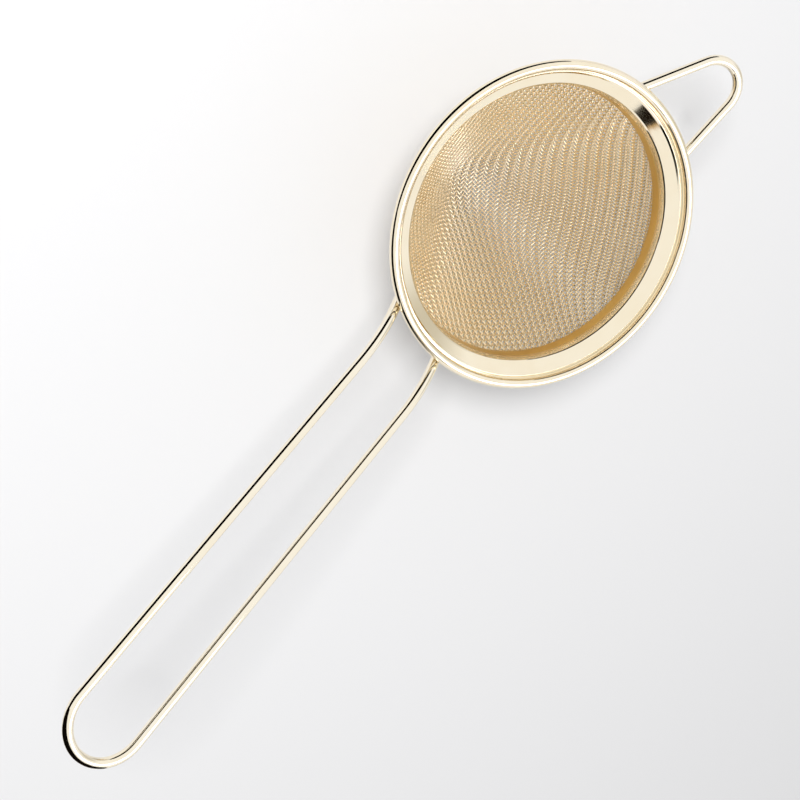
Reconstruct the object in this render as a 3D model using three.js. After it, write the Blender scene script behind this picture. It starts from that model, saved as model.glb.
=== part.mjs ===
// Conical tea strainer of gold-toned stainless steel, in millimetres, +Z up.
// The origin is the centre of the rim, in the plane of its top. The handle points along -X and the cup hook
// along +X. The rim, the mesh cone and the clamp band are turned about Z. The handle and the hook are bent
// wires whose ends are welded to the outside of the clamp band, below the rim.
import * as THREE from 'three';

// ---- Driving dimensions ----

// Rim ring: one formed sheet with a rolled bead, a valley, a sloped flange, a rounded lip and an inner wall.
// The bead's angles are in degrees: where its curl starts under the flange and where it ends in the valley.
const RIM_RADIUS = 42.5;
const BEAD_RADIUS = 1.25;
const BEAD_LAND = 0.9;
const BEAD_START = -110;
const BEAD_END = 200;
const SHEET = 0.6;
const VALLEY_DEPTH = 2.2;
const SHOULDER_WIDTH = 0.9;
const SHOULDER_HEIGHT = 0.15;
const LIP_RADIUS = 35.7;
const LIP_DEPTH = 4.3;
const LIP_ROUND = 0.8;
const LIP_START = 118;
const WALL_TAPER = 0.5;
const WALL_DEPTH = 9;

// Mesh cone: twill woven wire cloth, as a shell as thick as two crossed wires.
const MESH_THICKNESS = 0.9;
const CONE_DEPTH = 46;
const TIP_RADIUS = 12;

// Clamp band round the upright collar of the mesh.
const BAND_THICKNESS = 0.6;
const BAND_DROP = 0.3;

// Handle loop: one wire bent into a long U. It leaves the band steeply, then flattens.
const WIRE_DIAMETER = 2.6;
const HANDLE_SPACING = 19.5;
const HANDLE_END_SPACING = 20.2;
const HANDLE_LENGTH = 127.5;
const HANDLE_DEPTH_AT_RIM = 3.2;
const HANDLE_RISE_AT_RIM = 40;
const HANDLE_RISE = 17.8;
const HANDLE_BEND_LENGTH = 17.5;

// Hook loop: one wire bent into a rounded V.
const HOOK_SPREAD = 22.3;
const HOOK_LENGTH = 20.2;
const HOOK_END_RADIUS = 7.3;
const HOOK_DEPTH_AT_RIM = 4.2;
const HOOK_RISE = 10;

// Clearance kept between pieces that touch.
const GAP = 0.1;

// Facets. The steps are counted along the part they name.
const TURN_STEPS = 72;
const TIP_STEPS = 6;
const WIRE_SIDES = 12;
const LEG_STEPS = 26;
const HANDLE_STEPS = 84;
const ARM_STEPS = 8;
const HOOK_STEPS = 44;
const LOOP_END_STEPS = 16;

const radians = THREE.MathUtils.degToRad;

// ---- Shared shapes ----

// Points of a circular arc in a profile, from one angle to another, in degrees.
function arc(centreX, centreY, radius, from, to, steps) {
  return Array.from({ length: steps + 1 }, (_, i) => {
    const angle = radians(from + ((to - from) * i) / steps);
    return new THREE.Vector2(centreX + radius * Math.cos(angle), centreY + radius * Math.sin(angle));
  });
}

// A closed profile of (radius, height) points, listed anticlockwise, turned about Z.
function turned(profile) {
  const geometry = new THREE.LatheGeometry(profile, TURN_STEPS);
  geometry.rotateX(Math.PI / 2);
  return geometry;
}

// A round wire along a smooth curve through the given points.
function wire(points, steps) {
  const section = new THREE.Shape();
  section.absarc(0, 0, WIRE_DIAMETER / 2, 0, 2 * Math.PI);
  return new THREE.ExtrudeGeometry(section, {
    extrudePath: new THREE.CatmullRomCurve3(points, false, 'centripetal'),
    steps,
    curveSegments: WIRE_SIDES / 2,
    bevelEnabled: false,
  });
}

function piece(name, geometry, color, roughness) {
  const material = new THREE.MeshStandardMaterial({ color, roughness, metalness: 1 });
  const mesh = new THREE.Mesh(geometry, material);
  mesh.name = name;
  return mesh;
}

// ---- Rim ring ----

// The bead's top is trimmed to a flat land, so that the rim can lie face down on a table.
const landAngle = Math.asin(BEAD_LAND / 2 / BEAD_RADIUS) * THREE.MathUtils.RAD2DEG;
const beadRadialCentre = RIM_RADIUS - BEAD_RADIUS;
const beadHeight = -BEAD_RADIUS * Math.cos(radians(landAngle));

// The wall leans in by WALL_TAPER from the lip to its lower edge.
const wallRadius = LIP_RADIUS - WALL_TAPER;
const wallOuterRadius = LIP_RADIUS + SHEET;

// Height of the flange's underside where it turns down into the wall.
const undersideHeight = -LIP_DEPTH - SHEET / 2;

function rimRing() {
  const valleyRadius = beadRadialCentre - BEAD_RADIUS;
  const shoulderRadius = valleyRadius - SHOULDER_WIDTH;
  const lipCentreRadius = LIP_RADIUS + LIP_ROUND;
  const lipCentreHeight = -LIP_DEPTH - LIP_ROUND / 2;
  const profile = [
    new THREE.Vector2(wallRadius, -WALL_DEPTH),
    new THREE.Vector2(wallRadius + SHEET, -WALL_DEPTH),
    new THREE.Vector2(wallOuterRadius, lipCentreHeight),
    new THREE.Vector2(wallOuterRadius + LIP_ROUND / 2, undersideHeight),
    new THREE.Vector2(valleyRadius, -VALLEY_DEPTH - SHEET),
    ...arc(beadRadialCentre, beadHeight, BEAD_RADIUS, BEAD_START, 90 - landAngle, 9),
    ...arc(beadRadialCentre, beadHeight, BEAD_RADIUS, 90 + landAngle, BEAD_END, 5),
    new THREE.Vector2(valleyRadius, -VALLEY_DEPTH),
    new THREE.Vector2(shoulderRadius, -VALLEY_DEPTH + SHOULDER_HEIGHT),
    ...arc(lipCentreRadius, lipCentreHeight, LIP_ROUND, LIP_START, 180, 3),
    new THREE.Vector2(wallRadius, -WALL_DEPTH),
  ];
  return turned(profile);
}

// ---- Mesh cone ----

const collarRadius = wallOuterRadius + GAP;
const collarTop = -LIP_DEPTH - LIP_ROUND;
const collarBottom = -WALL_DEPTH - GAP;

// The straight side runs from the collar's foot, tangent to the rounded tip.
function coneSide(footRadius, tipRadius) {
  const tipCentre = -CONE_DEPTH + TIP_RADIUS;
  const drop = collarBottom - tipCentre;
  const reach = Math.hypot(footRadius, drop);
  const sideAngle = Math.atan2(footRadius, drop) - Math.asin(tipRadius / reach);
  return { tipCentre, slope: THREE.MathUtils.radToDeg(sideAngle) };
}

function meshCone() {
  const outerRadius = collarRadius + MESH_THICKNESS;
  const innerTip = TIP_RADIUS - MESH_THICKNESS;
  const { tipCentre, slope } = coneSide(outerRadius, TIP_RADIUS);
  const profile = [
    ...arc(0, tipCentre, TIP_RADIUS, -90, -slope, TIP_STEPS),
    new THREE.Vector2(outerRadius, collarBottom),
    new THREE.Vector2(outerRadius, collarTop),
    new THREE.Vector2(collarRadius, collarTop),
    new THREE.Vector2(collarRadius, collarBottom),
    ...arc(0, tipCentre, innerTip, -slope, -90, TIP_STEPS),
  ];
  return turned(profile);
}

// ---- Clamp band ----

const bandInnerRadius = collarRadius + MESH_THICKNESS + GAP;
const bandOuterRadius = bandInnerRadius + BAND_THICKNESS;
const bandBottom = -WALL_DEPTH;

// The band reaches from just under the flange to the lower edge of the wall.
function clampBand() {
  const bandTop = undersideHeight - BAND_DROP;
  const corners = [
    [bandInnerRadius, bandBottom],
    [bandOuterRadius, bandBottom],
    [bandOuterRadius, bandTop],
    [bandInnerRadius, bandTop],
    [bandInnerRadius, bandBottom],
  ];
  return turned(corners.map(([radius, height]) => new THREE.Vector2(radius, height)));
}

// ---- Handle loop ----

// How steeply the handle rises, in radians, at a distance along it from the rim's outer edge.
function handleRise(distance) {
  const share = THREE.MathUtils.clamp(distance / HANDLE_BEND_LENGTH, 0, 1);
  return radians(THREE.MathUtils.lerp(HANDLE_RISE_AT_RIM, HANDLE_RISE, share));
}

// Where the handle's middle plane is at that distance: reach along -X and height. Under a wide flange the wire
// stops falling where its end still lies wholly on the band, and runs level from there.
const handleFloor = bandBottom + WIRE_DIAMETER / 2 / Math.cos(radians(HANDLE_RISE_AT_RIM));

function handlePlace(distance) {
  const stride = 0.25;
  const count = Math.max(1, Math.round(Math.abs(distance) / stride));
  const step = distance / count;
  let reach = RIM_RADIUS;
  let height = -HANDLE_DEPTH_AT_RIM;
  for (let i = 0; i < count; i++) {
    const rise = handleRise((i + 0.5) * step);
    reach += Math.cos(rise) * step;
    height += Math.sin(rise) * step;
  }
  return { reach, height: Math.max(height, handleFloor) };
}

function handleLoop() {
  const endRadius = HANDLE_END_SPACING / 2;
  const straight = HANDLE_LENGTH - endRadius;
  const rise = radians(HANDLE_RISE_AT_RIM);
  // The end face, square to the wire, clears the round band by GAP.
  const levelFrom = RIM_RADIUS - (-HANDLE_DEPTH_AT_RIM - handleFloor) / Math.tan(rise);
  const endRise = levelFrom > bandOuterRadius + WIRE_DIAMETER ? 0 : rise;
  const endReach = bandOuterRadius + GAP + (WIRE_DIAMETER / 2) * Math.sin(endRise);
  const weldReach = Math.sqrt(endReach ** 2 - (HANDLE_SPACING / 2 - WIRE_DIAMETER / 2) ** 2);
  const weld = (weldReach - RIM_RADIUS) / Math.cos(rise);
  // The points lie closer together near the weld, where the wire bends.
  const leg = Array.from({ length: LEG_STEPS }, (_, i) => {
    const share = (i / LEG_STEPS) ** 1.6;
    const distance = THREE.MathUtils.lerp(weld, straight, share);
    const widening = THREE.MathUtils.clamp(distance / straight, 0, 1);
    return new THREE.Vector2(distance, THREE.MathUtils.lerp(HANDLE_SPACING, HANDLE_END_SPACING, widening) / 2);
  });
  const bend = arc(straight, 0, endRadius, 90, -90, LOOP_END_STEPS);
  const outline = [...leg, ...bend, ...leg.map((p) => new THREE.Vector2(p.x, -p.y)).reverse()];
  const points = outline.map((p) => {
    const { reach, height } = handlePlace(p.x);
    return new THREE.Vector3(-reach, p.y, height);
  });
  return wire(points, HANDLE_STEPS);
}

// ---- Hook loop ----

function hookLoop() {
  const rise = radians(HOOK_RISE);
  const half = HOOK_SPREAD / 2;
  const endCentre = HOOK_LENGTH - HOOK_END_RADIUS;
  // Each arm is tangent to the rounded end, and closes in towards it.
  const closing = Math.asin(HOOK_END_RADIUS / Math.hypot(endCentre, half)) - Math.atan2(half, endCentre);
  // The arm runs back along its own line until it is endReach from the axis, where its face clears the band.
  const spreading = -Math.tan(closing);
  const weldSpread = half + (RIM_RADIUS - bandOuterRadius) * spreading;
  const faceTurn = Math.asin(weldSpread / bandOuterRadius) - closing;
  const endReach = bandOuterRadius + GAP + (WIRE_DIAMETER / 2) * (Math.sin(rise) + Math.sin(faceTurn));
  const run = RIM_RADIUS - half * spreading;
  const excess = RIM_RADIUS ** 2 + half ** 2 - endReach ** 2;
  const back = (run - Math.sqrt(run ** 2 - (1 + spreading ** 2) * excess)) / (1 + spreading ** 2);
  const weld = new THREE.Vector2(-back, half + back * spreading);
  const turn = 90 + THREE.MathUtils.radToDeg(closing);
  const tangent = arc(endCentre, 0, HOOK_END_RADIUS, turn, turn, 1)[0];
  const arm = Array.from({ length: ARM_STEPS }, (_, i) => weld.clone().lerp(tangent, i / ARM_STEPS));
  const end = arc(endCentre, 0, HOOK_END_RADIUS, turn, -turn, LOOP_END_STEPS);
  const outline = [...arm, ...end, ...arm.map((p) => new THREE.Vector2(p.x, -p.y)).reverse()];
  const points = outline.map((p) => new THREE.Vector3(
    RIM_RADIUS + p.x * Math.cos(rise),
    p.y,
    -HOOK_DEPTH_AT_RIM + p.x * Math.sin(rise),
  ));
  return wire(points, HOOK_STEPS);
}

// ---- The strainer ----

const strainer = new THREE.Group();
strainer.add(
  piece('rim_ring', rimRing(), 0xe6d3a3, 0.16),
  piece('mesh_cone', meshCone(), 0xd8bd84, 0.35),
  piece('clamp_band', clampBand(), 0xe0cc9a, 0.22),
  piece('handle_loop', handleLoop(), 0xe8d6a8, 0.14),
  piece('hook_loop', hookLoop(), 0xe8d6a8, 0.14),
);

export default strainer;
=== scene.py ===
import math

import bmesh
import bpy
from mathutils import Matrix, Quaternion, Vector


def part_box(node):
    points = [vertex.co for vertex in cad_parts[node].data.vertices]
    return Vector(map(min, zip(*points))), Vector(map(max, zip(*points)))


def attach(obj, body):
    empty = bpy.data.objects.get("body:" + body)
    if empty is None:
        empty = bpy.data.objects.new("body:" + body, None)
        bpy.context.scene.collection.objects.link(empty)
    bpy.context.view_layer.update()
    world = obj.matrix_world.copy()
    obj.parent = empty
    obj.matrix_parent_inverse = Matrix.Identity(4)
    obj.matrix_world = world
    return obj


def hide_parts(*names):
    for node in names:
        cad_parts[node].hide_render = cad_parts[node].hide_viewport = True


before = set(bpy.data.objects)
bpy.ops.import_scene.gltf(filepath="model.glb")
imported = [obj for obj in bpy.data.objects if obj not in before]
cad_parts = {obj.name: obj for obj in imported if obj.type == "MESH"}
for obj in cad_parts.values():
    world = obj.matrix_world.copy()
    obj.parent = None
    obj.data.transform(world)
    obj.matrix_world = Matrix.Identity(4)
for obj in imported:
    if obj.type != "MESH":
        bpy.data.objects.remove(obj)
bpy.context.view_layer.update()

MM = 0.001


# ---- Rim ring ----
# One disc of stainless steel sheet, pressed and rolled: a bead round the outside, a narrow groove, a flat
# hem, a flange that slopes in, and a short wall. It is polished on a wheel and coated gold, and the band,
# the cloth and the wires are fixed to its wall.


def arc(centre_x, centre_y, radius, start, end, steps):
    """Points along a circular arc, from one angle to another, in degrees."""
    turns = [math.radians(start + (end - start) * i / steps) for i in range(steps + 1)]
    return [(centre_x + radius * math.cos(t), centre_y + radius * math.sin(t)) for t in turns]


def turned(name, profile, steps):
    """A closed profile of (radius, height) points, in millimetres, spun once round Z."""
    mesh = bmesh.new()
    corners = [mesh.verts.new((radius * MM, 0, height * MM)) for radius, height in profile]
    sides = [mesh.edges.new((a, b)) for a, b in zip(corners, corners[1:] + corners[:1])]
    bmesh.ops.spin(
        mesh,
        geom=corners + sides,
        cent=(0, 0, 0),
        axis=(0, 0, 1),
        angle=2 * math.pi,
        steps=steps,
        use_merge=True,
    )
    bmesh.ops.remove_doubles(mesh, verts=mesh.verts, dist=0.00001)
    bmesh.ops.recalc_face_normals(mesh, faces=mesh.faces)
    return finished(name, mesh)


def finished(name, mesh):
    """The bmesh as a smooth object of the scene."""
    data = bpy.data.meshes.new(name)
    mesh.to_mesh(data)
    mesh.free()
    data.shade_smooth()
    piece = bpy.data.objects.new(name, data)
    bpy.context.scene.collection.objects.link(piece)
    return piece


def srgb(colour):
    """An sRGB hex colour as linear red, green, blue and alpha."""
    shares = [int(colour[i : i + 2], 16) / 255 for i in (1, 3, 5)]
    return (*(s / 12.92 if s <= 0.04045 else ((s + 0.055) / 1.055) ** 2.4 for s in shares), 1.0)


def add(tree, kind, sockets, **settings):
    """Adds a node. Each socket, by name or number, gets a value or a link from another node's output."""
    node = tree.nodes.new(kind)
    for name, value in settings.items():
        setattr(node, name, value)
    for name, value in sockets.items():
        if isinstance(value, bpy.types.NodeSocket):
            tree.links.new(value, node.inputs[name])
        else:
            node.inputs[name].default_value = value
    return node


def gold_coat(name, gold, deep_gold, roughness, haze):
    """Gold-toned coating on steel, with soft clouds of tone 9 mm across and smears as wide as a finger."""
    cloud_size = 9
    smear_size = 16
    material = bpy.data.materials.new(name)
    material.use_nodes = True
    tree = material.node_tree
    tree.nodes.clear()
    place = add(tree, "ShaderNodeTexCoord", {}).outputs["Object"]
    cloud = add(
        tree, "ShaderNodeTexNoise", {"Vector": place, "Scale": 1 / (cloud_size * MM), "Detail": 3.0}
    )
    smear = add(
        tree, "ShaderNodeTexNoise", {"Vector": place, "Scale": 1 / (smear_size * MM), "Distortion": 1.2}
    )
    tone = add(
        tree,
        "ShaderNodeMix",
        {0: cloud.outputs["Fac"], 6: srgb(gold), 7: srgb(deep_gold)},
        data_type="RGBA",
    )
    rough = add(
        tree,
        "ShaderNodeMapRange",
        {
            "Value": smear.outputs["Fac"],
            "From Min": 0.4,
            "From Max": 0.7,
            "To Min": roughness,
            "To Max": roughness + haze,
        },
    )
    shader = add(
        tree,
        "ShaderNodeBsdfPrincipled",
        {"Base Color": tone.outputs[2], "Metallic": 1.0, "Roughness": rough.outputs["Result"]},
    )
    add(tree, "ShaderNodeOutputMaterial", {"Surface": shader.outputs["BSDF"]})
    return material, tree, place, shader


rim_low, rim_high = (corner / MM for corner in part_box("rim_ring"))
sheet = 0.6
bead_radius = 1.25
bead_centre = rim_high.x - bead_radius
bead_height = -bead_radius * 0.93
groove_radius = bead_centre - bead_radius
groove_depth = 2.2
groove_round = 0.15
groove_lift = 0.02
hem_width = 0.75
hem_rise = 0.2
hem_round = 0.2
hem_step = 0.5
step_round = 0.12
step_blend = 0.08
lip_radius = 35.7
lip_depth = 4.3
lip_round = 1.5
wall_taper = 0.5
wall_bottom = rim_low.z
wall_inner = lip_radius - wall_taper
edge_round = sheet / 2
back_bend = 0.75
hem_edge = groove_radius - hem_width
hem_height = hem_rise - groove_depth
step_foot = hem_edge - hem_step + step_blend

# Round the wall's foot, up its back, round the bead, and in over the groove, hem, step, flange and lip.
rim_profile = [
    *arc(wall_inner + edge_round, wall_bottom + edge_round, edge_round, 180, 360, 8),
    (lip_radius + sheet, -lip_depth - lip_round),
    (lip_radius + sheet * 1.2, -lip_depth - back_bend),
    (lip_radius + sheet + lip_round / 2, -lip_depth - sheet / 2),
    (groove_radius, -groove_depth - sheet),
    *arc(bead_centre, bead_height, bead_radius, -110, 196, 56),
    *arc(groove_radius - groove_round, hem_height + groove_lift, groove_round, 0, -70, 5),
    *arc(hem_edge + hem_round, hem_height - hem_round, hem_round, 70, 135, 7),
    *arc(step_foot, hem_height - hem_step + step_round, step_round, -45, -62, 3),
    *arc(lip_radius + lip_round, -lip_depth - lip_round / 2, lip_round, 118, 180, 20),
]
rim = turned("rim", rim_profile, 256)

# Polished stainless steel with a gold-toned vapour coating: a warm mirror, with faint rings left by the
# wheel. The rings are really some 0.05 mm apart, and are drawn 0.3 mm apart, so that they show.
ring_spacing = 0.3
ring_relief = 0.02
rim_gold, tree, place, shader = gold_coat("polished gold rim", "#faf1dc", "#f4e6c9", 0.06, 0.05)
flat = add(tree, "ShaderNodeVectorMath", {0: place, 1: (1, 1, 0)}, operation="MULTIPLY")
radius = add(tree, "ShaderNodeVectorMath", {0: flat.outputs[0]}, operation="LENGTH")
height = add(tree, "ShaderNodeSeparateXYZ", {0: place})
along = add(
    tree, "ShaderNodeMath", {0: radius.outputs["Value"], 1: height.outputs["Z"]}, operation="SUBTRACT"
)
rings = add(
    tree,
    "ShaderNodeTexNoise",
    {"W": along.outputs[0], "Scale": 1 / (ring_spacing * MM), "Detail": 4.0},
    noise_dimensions="1D",
)
relief = add(
    tree,
    "ShaderNodeBump",
    {"Height": rings.outputs["Fac"], "Strength": 0.1, "Distance": ring_relief * MM},
)
tree.links.new(relief.outputs["Normal"], shader.inputs["Normal"])

# The wheel doesn't reach the wall, which keeps the satin finish of the pressing. Its deeper gold is a
# painted shade, for the warm light that bounces inside the recess under the lip.
satin_starts = lip_depth + 0.9
satin_full = lip_depth + 2.2
satin_roughness = 0.3
# This mask sets both the satin roughness and the painted shade on the wall.
satin = add(
    tree,
    "ShaderNodeMapRange",
    {
        "Value": height.outputs["Z"],
        "From Min": -satin_full * MM,
        "From Max": -satin_starts * MM,
        "To Min": 1.0,
        "To Max": 0.0,
    },
).outputs["Result"]
polish = shader.inputs["Roughness"].links[0].from_socket
dulled = add(
    tree, "ShaderNodeMath", {0: satin, 1: satin_roughness, 2: polish}, operation="MULTIPLY_ADD"
)
tree.links.new(dulled.outputs[0], shader.inputs["Roughness"])
tone = shader.inputs["Base Color"].links[0].from_socket
# Painted shade: the wall under the lip is painted a deeper gold, for the warm bounced light in the recess.
painted_recess_warmth = add(tree, "ShaderNodeMix", {0: satin, 6: tone, 7: srgb("#f2cf86")}, data_type="RGBA")
tree.links.new(painted_recess_warmth.outputs[2], shader.inputs["Base Color"])
rim.data.materials.append(rim_gold)
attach(rim, "root")
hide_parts("rim_ring")


# ---- Mesh cone ----
# One disc of twill woven wire cloth, each wire over two and under two, pressed over a cone with a rounded
# tip. The wires keep their spacing, and the squares of the weave shear into diamonds on the sides. The band
# grips the foot of the cloth against the rim's wall.

pitch = 0.9
cloth_wire = 0.5
cloth_turn = math.radians(4)
tip_radius = 12.0
cloth_low, cloth_high = (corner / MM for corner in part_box("mesh_cone"))
cloth_thickness = 2 * cloth_wire
foot_radius = cloth_high.x - cloth_thickness / 2
foot_clearance = 0.1
foot_height = wall_bottom - foot_clearance
tip_round = tip_radius - cloth_thickness / 2
tip_centre = cloth_low.z + tip_radius
foot_drop = foot_height - tip_centre
foot_reach = math.hypot(foot_radius, foot_drop)
side_slope = math.atan2(foot_radius, foot_drop) - math.asin(tip_round / foot_reach)
round_edge = tip_round * math.cos(side_slope)
round_height = tip_centre - tip_round * math.sin(side_slope)


def cloth_height(radius):
    """Height of the cloth's middle at a distance from Z, and how steeply it climbs there."""
    if radius < round_edge:
        drop = math.sqrt(tip_round**2 - radius**2)
        return tip_centre - drop, radius / drop
    climb = 1 / math.tan(side_slope)
    return round_height + (radius - round_edge) * climb, climb


def on_cloth(x, y):
    """The point of the cloth's middle above a place on the plane."""
    return Vector((x, y, cloth_height(math.hypot(x, y))[0]))


def straight_wire(count):
    """Crossings, one pitch apart, along the wire that runs straight up the side from the tip."""
    crossings = [on_cloth(0, 0)]
    reach = 0.0
    for _ in range(count):
        step = pitch
        for _ in range(6):
            step *= pitch / (on_cloth(reach + step, 0) - crossings[-1]).length
        reach += step
        crossings.append(on_cloth(reach, 0))
    return crossings


def next_crossing(left, below, guess):
    """The point on the cloth one pitch from both neighbours, by Newton's method from the guess."""
    x, y = guess.x, guess.y
    for _ in range(5):
        reach = math.hypot(x, y)
        height, climb = cloth_height(reach)
        slopes = (climb * x / reach, climb * y / reach)
        gaps = [Vector((x, y, height)) - neighbour for neighbour in (left, below)]
        (a, b), (c, d) = [[2 * (gap[k] + gap.z * slopes[k]) for k in (0, 1)] for gap in gaps]
        e, f = [gap.length_squared - pitch**2 for gap in gaps]
        scale = a * d - b * c
        x -= (d * e - b * f) / scale
        y -= (a * f - c * e) / scale
    return on_cloth(x, y)


# One quarter of the cloth, crossing by crossing, outwards from the tip, with a little over to cut off.
spare = 3
across = math.ceil((foot_radius / math.cos(side_slope) + spare) / pitch)
spine = straight_wire(across)
quarter = {(i, 0): crossing for i, crossing in enumerate(spine)}
quarter.update({(0, i): Vector((c.y, c.x, c.z)) for i, c in enumerate(spine)})
for i in range(1, across + 1):
    for j in range(1, across + 1):
        left, below, corner = (quarter.get(key) for key in ((i - 1, j), (i, j - 1), (i - 1, j - 1)))
        if left is None or below is None or math.hypot(corner.x, corner.y) > foot_radius + spare - 1:
            continue
        quarter[(i, j)] = next_crossing(left, below, left + below - corner)


def crossing(i, j):
    """The crossing of wires i and j of the whole cloth, and the way out of the cloth there."""
    place = quarter.get((abs(i), abs(j)))
    if place is None:
        return None
    x, y = math.copysign(place.x, i), math.copysign(place.y, j)
    reach = math.hypot(x, y)
    climb = cloth_height(reach)[1]
    out = Vector((x * climb / reach, y * climb / reach, -1)) if reach else Vector((0, 0, -1))
    return Vector((x, y, place.z)), out.normalized()


def woven_route(wire, is_warp):
    """The route of one wire, over two crossing wires and under two, cut off at the foot of the cone."""
    stops = []
    for step in range(-across, across + 1):
        stop = crossing(wire, step) if is_warp else crossing(step, wire)
        if stop is not None:
            is_outside = ((wire - step if is_warp else step - wire) % 4 < 2) == is_warp
            stops.append((*stop, cloth_wire / 2 if is_outside else -cloth_wire / 2))
    route = []
    points_per_gap = 4
    for (start, out, lift), (end, end_out, end_lift) in zip(stops, stops[1:]):
        for k in range(points_per_gap):
            share = k / points_per_gap
            ease = (1 - math.cos(math.pi * share)) / 2
            off_middle = lift + (end_lift - lift) * ease
            place = start.lerp(end, share) + out.lerp(end_out, share) * off_middle
            if math.hypot(place.x, place.y) < foot_radius:
                route.append(Quaternion((0, 0, 1), cloth_turn) @ place)
    return route


def bent_wire(name, routes, diameter, roundness):
    """Round wires along routes in millimetres, as one mesh."""
    curve = bpy.data.curves.new(name, "CURVE")
    curve.dimensions = "3D"
    curve.bevel_depth = diameter / 2 * MM
    curve.bevel_resolution = roundness
    curve.use_fill_caps = True
    for route in routes:
        spline = curve.splines.new("POLY")
        spline.points.add(len(route) - 1)
        spline.points.foreach_set("co", [v for place in route for v in (*(Vector(place) * MM), 1.0)])
    drawn = bpy.data.objects.new(name, curve)
    bpy.context.scene.collection.objects.link(drawn)
    data = bpy.data.meshes.new_from_object(drawn)
    bpy.data.objects.remove(drawn)
    data.shade_smooth()
    piece = bpy.data.objects.new(name, data)
    bpy.context.scene.collection.objects.link(piece)
    return piece


# Drawn steel wire under the same coating: the many small round backs give the cloth a deeper, softer gold.
# The cloth is painted lighter towards the tip: a painted highlight, for the light that the rounded tip
# catches from above.
# Painted highlight: the heights over which the cloth turns lighter towards the tip.
tip_highlight_starts = cloth_low.z * 0.45
tip_highlight_full = cloth_low.z * 0.9
cloth_gold, tree, place, shader = gold_coat("woven gold wire cloth", "#fff2d8", "#fce8c4", 0.22, 0.06)
height = add(tree, "ShaderNodeSeparateXYZ", {0: place})
tip_highlight_mask = add(
    tree,
    "ShaderNodeMapRange",
    {"Value": height.outputs["Z"], "From Min": tip_highlight_starts * MM, "From Max": tip_highlight_full * MM},
)
tone = shader.inputs["Base Color"].links[0].from_socket
# Painted highlight: the tone is mixed towards a light cream near the tip.
painted_tip_highlight = add(
    tree,
    "ShaderNodeMix",
    {0: tip_highlight_mask.outputs["Result"], 6: tone, 7: srgb("#fff4e0")},
    data_type="RGBA",
)
tree.links.new(painted_tip_highlight.outputs[2], shader.inputs["Base Color"])
parts = 4
for direction, is_warp in (("warp", True), ("weft", False)):
    for part in range(parts):
        routes = [woven_route(wire, is_warp) for wire in range(-across + part, across + 1, parts)]
        long_enough = [route for route in routes if len(route) > 3]
        cloth = bent_wire(f"cloth_{direction}_{part}", long_enough, cloth_wire, 1)
        cloth.data.materials.append(cloth_gold)
        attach(cloth, "root")
        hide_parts("mesh_cone")


# ---- Clamp band ----
# A thin strip of the same steel, closed round the foot of the cloth so that it grips the cloth against the
# rim's wall. The handle and the hook are welded to it.

band_low, band_high = (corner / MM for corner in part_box("clamp_band"))
band_thickness = 0.6
band_outer = band_high.x
band_inner = band_outer - band_thickness
band_round = 0.2
band_profile = [
    *arc(band_outer - band_round, band_low.z + band_round, band_round, -90, 0, 4),
    *arc(band_outer - band_round, band_high.z - band_round, band_round, 0, 90, 4),
    *arc(band_inner + band_round, band_high.z - band_round, band_round, 90, 180, 4),
    *arc(band_inner + band_round, band_low.z + band_round, band_round, 180, 270, 4),
]
band = turned("band", band_profile, 192)

# Rolled strip, less polished than the rim: a satin gold with faint lines along its length, 0.2 mm apart.
line_length = 5
line_spacing = 0.2
line_relief = 0.03
band_gold, tree, place, shader = gold_coat("satin gold band", "#f2dfb8", "#ecd2a2", 0.22, 0.08)
stretched = add(
    tree, "ShaderNodeMapping", {"Vector": place, "Scale": (1, 1, line_length / line_spacing)}
)
lines = add(
    tree,
    "ShaderNodeTexNoise",
    {"Vector": stretched.outputs[0], "Scale": 1 / (line_length * MM), "Detail": 3.0},
)
relief = add(
    tree,
    "ShaderNodeBump",
    {"Height": lines.outputs["Fac"], "Strength": 0.2, "Distance": line_relief * MM},
)
tree.links.new(relief.outputs["Normal"], shader.inputs["Normal"])
band.data.materials.append(band_gold)
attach(band, "root")
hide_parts("clamp_band")


# ---- Handle loop ----
# One length of hard round wire, bent into a long U. Both ends come up steeply from the band, where they are
# welded, and flatten out a little way from the rim.

wire_diameter = 2.6
handle_low, handle_high = (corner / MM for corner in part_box("handle_loop"))
rim_spacing = 19.5
end_spacing = handle_high.y - handle_low.y - wire_diameter
handle_length = 127.5
handle_depth = 3.2
steep_rise = 40.0
handle_rise = 17.8
bend_length = 17.5
weld_gap = 0.1


def handle_place(distance, side):
    """A point of the handle's middle plane, at a distance along it from the rim's outer edge."""
    steps_per_mm = 4
    count = max(1, round(abs(distance) * steps_per_mm))
    step = distance / count
    reach, height = rim_high.x, -handle_depth
    for i in range(count):
        share = min(max((i + 0.5) * step / bend_length, 0), 1)
        rise = math.radians(steep_rise + (handle_rise - steep_rise) * share)
        reach += math.cos(rise) * step
        height += math.sin(rise) * step
    return (-reach, side, height)


end_radius = end_spacing / 2
straight = handle_length - end_radius
end_reach = band_outer + weld_gap + wire_diameter / 2 * math.sin(math.radians(steep_rise))
weld_reach = math.sqrt(end_reach**2 - (rim_spacing / 2 - wire_diameter / 2) ** 2)
weld = (weld_reach - rim_high.x) / math.cos(math.radians(steep_rise))
leg = []
leg_steps = 90
crowding = 1.5
for i in range(leg_steps):
    distance = weld + (straight - weld) * (i / leg_steps) ** crowding
    spread = rim_spacing + (end_spacing - rim_spacing) * min(max(distance / straight, 0), 1)
    leg.append((distance, spread / 2))
outline = leg + arc(straight, 0, end_radius, 90, -90, 48) + [(d, -s) for d, s in reversed(leg)]
handle_route = [handle_place(distance, side) for distance, side in outline]
handle = bent_wire("handle", [handle_route], wire_diameter, 12)

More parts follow.
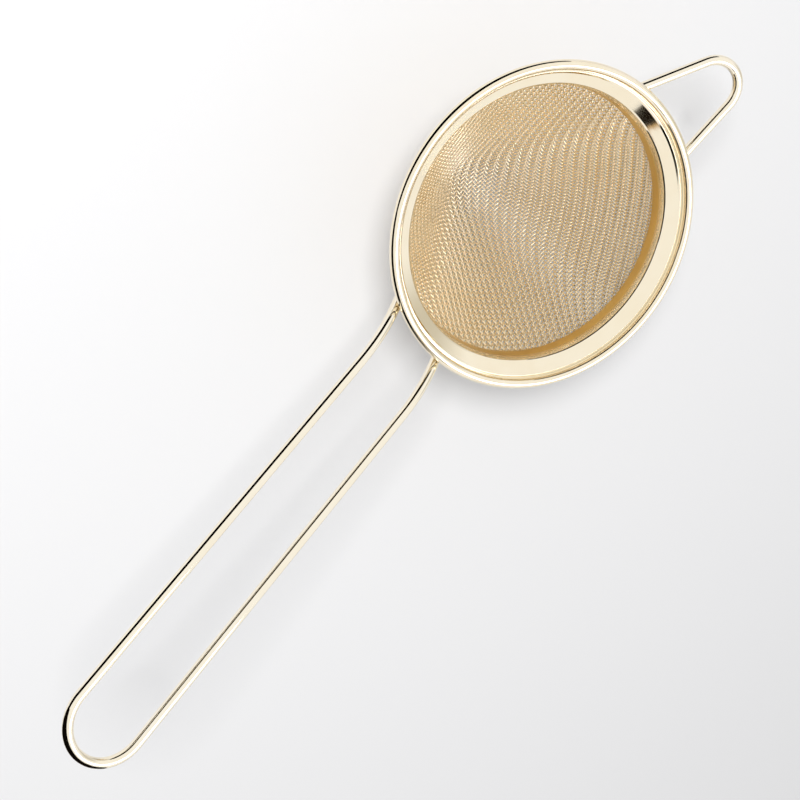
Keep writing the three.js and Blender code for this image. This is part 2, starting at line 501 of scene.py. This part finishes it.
# Bright drawn wire under the gold coating: mirror-like, with very fine lines along the wire from the die.
# They are finer than 0.05 mm, and are drawn 0.2 mm wide.
die_line_width = 0.2
die_line_length = 10
die_line_relief = 0.02
wire_gold, tree, place, shader = gold_coat("bright gold wire", "#fcf5e6", "#f6ebd2", 0.05, 0.04)
stretched = add(
    tree, "ShaderNodeMapping", {"Vector": place, "Scale": (die_line_width / die_line_length, 1, 1)}
)
lines = add(
    tree,
    "ShaderNodeTexNoise",
    {"Vector": stretched.outputs[0], "Scale": 1 / (die_line_width * MM), "Detail": 2.0},
)
relief = add(
    tree,
    "ShaderNodeBump",
    {"Height": lines.outputs["Fac"], "Strength": 0.06, "Distance": die_line_relief * MM},
)
tree.links.new(relief.outputs["Normal"], shader.inputs["Normal"])
handle.data.materials.append(wire_gold)
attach(handle, "root")
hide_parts("handle_loop")


# ---- Hook loop ----
# A short length of the same wire, bent into a rounded V and welded to the band opposite the handle. It
# lies on the far side of a cup.

hook_spread = 22.3
hook_end_radius = 7.3
hook_length = 20.2
hook_depth = 4.2
hook_rise = math.radians(10)

hook_half = hook_spread / 2
hook_centre = hook_length - hook_end_radius
closing = math.asin(hook_end_radius / math.hypot(hook_centre, hook_half))
closing -= math.atan2(hook_half, hook_centre)
hook_end_reach = (
    band_outer + weld_gap + wire_diameter / 2 * (math.sin(hook_rise) + math.sin(abs(closing)))
)
back = rim_high.x - math.sqrt(hook_end_reach**2 - hook_half**2)
hook_turn = 90 + math.degrees(closing)
hook_bend = arc(hook_centre, 0, hook_end_radius, hook_turn, -hook_turn, 48)
hook_weld = (-back, hook_half - back * math.tan(closing))
arm_steps = 16
arm = [
    tuple(a + (b - a) * i / arm_steps for a, b in zip(hook_weld, hook_bend[0])) for i in range(arm_steps)
]
outline = arm + hook_bend + [(x, -y) for x, y in reversed(arm)]
hook_route = [
    (rim_high.x + x * math.cos(hook_rise), y, -hook_depth + x * math.sin(hook_rise)) for x, y in outline
]
hook = bent_wire("hook", [hook_route], wire_diameter, 12)
hook.data.materials.append(wire_gold)
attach(hook, "root")
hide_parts("hook_loop")


# ---- Floor, lights and camera ----
# A plain white board under the tip, a soft light behind the camera, a panel overhead, and dark cards that
# only show as reflections in the metal.

floor_drop = 0.4
floor_mesh = bmesh.new()
bmesh.ops.create_grid(floor_mesh, x_segments=1, y_segments=1, size=6)
bmesh.ops.translate(floor_mesh, vec=(0, 0, (cloth_low.z - floor_drop) * MM), verts=floor_mesh.verts)
floor = finished("floor", floor_mesh)
paper = bpy.data.materials.new("matt white board")
paper.use_nodes = True
tree = paper.node_tree
tree.nodes.clear()
place = add(tree, "ShaderNodeTexCoord", {}).outputs["Object"]
fibre_clump = 0.8
fibre_relief = 0.05
fibres = add(
    tree, "ShaderNodeTexNoise", {"Vector": place, "Scale": 1 / (fibre_clump * MM), "Detail": 4.0}
)
relief = add(
    tree,
    "ShaderNodeBump",
    {"Height": fibres.outputs["Fac"], "Strength": 0.05, "Distance": fibre_relief * MM},
)
shader = add(
    tree,
    "ShaderNodeBsdfPrincipled",
    {"Base Color": srgb("#e8e8e9"), "Roughness": 0.8, "Normal": relief.outputs["Normal"]},
)
add(tree, "ShaderNodeOutputMaterial", {"Surface": shader.outputs["BSDF"]})
floor.data.materials.append(paper)

# The white room shows at full strength in the metal, and lights the board at about half of that, so that the
# soft light can throw a shadow.
world = bpy.data.worlds.new("studio")
world.use_nodes = True
tree = world.node_tree
tree.nodes.clear()
seen_level = 1.0
lighting_level = 0.48
ray = add(tree, "ShaderNodeLightPath", {})
level = add(
    tree,
    "ShaderNodeMapRange",
    {"Value": ray.outputs["Is Diffuse Ray"], "To Min": seen_level, "To Max": lighting_level},
)
sky = add(tree, "ShaderNodeBackground", {"Color": (1, 1, 1, 1), "Strength": level.outputs["Result"]})
add(tree, "ShaderNodeOutputWorld", {"Surface": sky.outputs["Background"]})
bpy.context.scene.world = world


def heading(azimuth, elevation):
    """The direction at an azimuth from +X towards +Y, and an elevation, in degrees."""
    a, e = math.radians(azimuth), math.radians(elevation)
    return Vector((math.cos(a) * math.cos(e), math.sin(a) * math.cos(e), math.sin(e)))


def softbox(name, azimuth, elevation, distance, size, power):
    """A round area light aimed at the middle of the rim, with its distance and size in metres."""
    light = bpy.data.lights.new(name, "AREA")
    light.shape = "DISK"
    light.size = size
    light.energy = power
    lamp = bpy.data.objects.new(name, light)
    lamp.location = heading(azimuth, elevation) * distance
    lamp.rotation_mode = "QUATERNION"
    lamp.rotation_quaternion = heading(azimuth, elevation).to_track_quat("Z", "Y")
    bpy.context.scene.collection.objects.link(lamp)
    return lamp


key = softbox("key", 98, 56, 1.0, 0.3, 9)
key.visible_glossy = False
overhead = softbox("overhead panel", 276, 57, 0.8, 0.32, 1.1)
overhead.visible_diffuse = False


def card(name, azimuth, elevation, distance, width, height, shade, soft=False):
    """A card facing the strainer, in metres, that only reflections show. A soft one fades to its edges."""
    mesh = bmesh.new()
    bmesh.ops.create_grid(mesh, x_segments=1, y_segments=1, size=0.5)
    bmesh.ops.scale(mesh, vec=(width, height, 1), verts=mesh.verts)
    toward = heading(azimuth, elevation)
    turn = toward.to_track_quat("Z", "Y")
    bmesh.ops.rotate(mesh, cent=(0, 0, 0), matrix=turn.to_matrix(), verts=mesh.verts)
    bmesh.ops.translate(mesh, vec=toward * distance, verts=mesh.verts)
    piece = finished(name, mesh)
    felt = bpy.data.materials.new(name)
    felt.use_nodes = True
    tree = felt.node_tree
    tree.nodes.clear()
    glow = add(tree, "ShaderNodeEmission", {"Color": srgb(shade), "Strength": 1.0}).outputs[0]
    if soft:
        place = add(tree, "ShaderNodeTexCoord", {}).outputs["Object"]
        middle = tuple(toward * distance)
        off_centre = add(tree, "ShaderNodeVectorMath", {0: place, 1: middle}, operation="DISTANCE")
        fade = add(
            tree,
            "ShaderNodeMapRange",
            {"Value": off_centre.outputs["Value"], "From Min": width * 0.1, "From Max": width * 0.5},
            interpolation_type="SMOOTHSTEP",
        )
        clear = add(tree, "ShaderNodeBsdfTransparent", {})
        faded = add(tree, "ShaderNodeMixShader", {0: fade.outputs["Result"], 1: glow, 2: clear.outputs[0]})
        glow = faded.outputs[0]
    add(tree, "ShaderNodeOutputMaterial", {"Surface": glow})
    piece.data.materials.append(felt)
    piece.visible_camera = False
    piece.visible_diffuse = False
    piece.visible_shadow = False


card("dark screen behind the camera", 90, 10, 0.19, 0.9, 0.16, "#0c0906")
card("dark screen beyond the handle", 182, 13, 0.24, 0.34, 0.18, "#0c0906")
card("dark stand", 233, 38, 0.9, 0.12, 0.12, "#1a140e")
card("tan stand", 224, 40, 0.92, 0.16, 0.09, "#c9a878")
card("grey curtain", -32, 15, 0.9, 0.75, 0.75, "#d0ccc2", soft=True)

camera_data = bpy.data.cameras.new("camera")
camera_data.lens = 68.9
camera_data.shift_x = 0.0229
camera_data.shift_y = -0.0171
camera = bpy.data.objects.new("camera", camera_data)
bpy.context.scene.collection.objects.link(camera)
look_at = Vector((-56.5, -2.7, 0)) * MM
toward_camera = heading(95.9, 57.0)
camera_distance = 378.2
camera_roll = 134.6
camera.location = look_at + toward_camera * camera_distance * MM
camera.rotation_mode = "QUATERNION"
roll = Quaternion((0, 0, 1), math.radians(camera_roll))
camera.rotation_quaternion = toward_camera.to_track_quat("Z", "Y") @ roll
bpy.context.scene.camera = camera
bpy.context.scene.view_settings.view_transform = "Standard"
